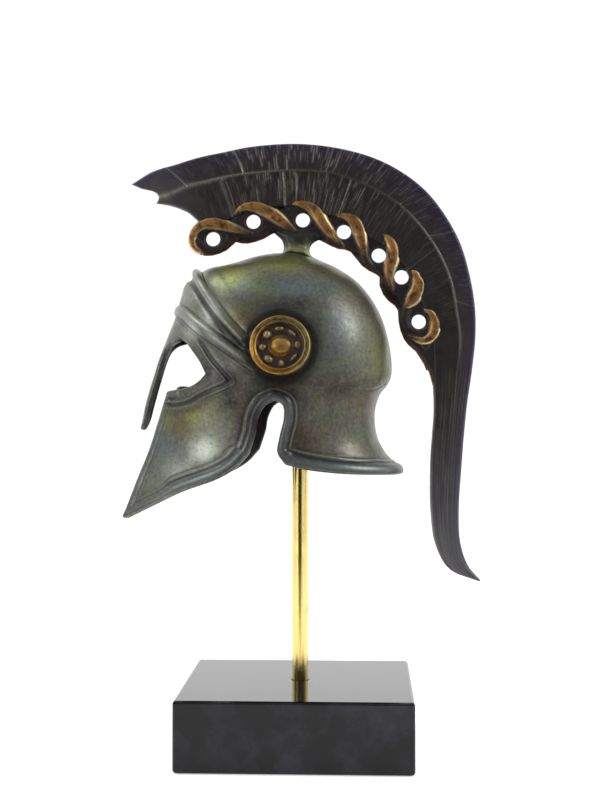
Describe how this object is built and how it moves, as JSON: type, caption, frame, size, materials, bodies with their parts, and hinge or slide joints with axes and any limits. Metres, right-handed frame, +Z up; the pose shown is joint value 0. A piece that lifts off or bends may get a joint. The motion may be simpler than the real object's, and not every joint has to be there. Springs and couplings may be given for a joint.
{
  "type": "crested bronze helmet on rod stand",
  "caption": "Greek style bronze helmet with cheek guards, nasal, ear rosettes and a tall crest with a hanging tail, held on a brass rod set in a square marble block.",
  "frame": {"origin": "middle of the marble block's underside", "axes": "+Z up along the rod; the helmet faces -X, its crest lies in the plane Y = 0, and -Y is the side named right"},
  "size_m": [0.1565, 0.1, 0.2672],
  "materials": {
    "patinated_bronze": "cast bronze with a green-grey patina, rubbed on the high places",
    "gilt_bronze": "bronze left golden and polished, dark in the recesses",
    "dark_bronze": "cast bronze with a near-black patina",
    "polished_brass": "polished",
    "black_marble": "polished"
  },
  "bodies": {
    "root": {"helmet_shell": "patinated_bronze", "ear_rosette_left": "gilt_bronze", "ear_rosette_right": "gilt_bronze", "crest": "dark_bronze", "display_rod": "polished_brass", "marble_base": "black_marble"}
  },
  "joints": []
}
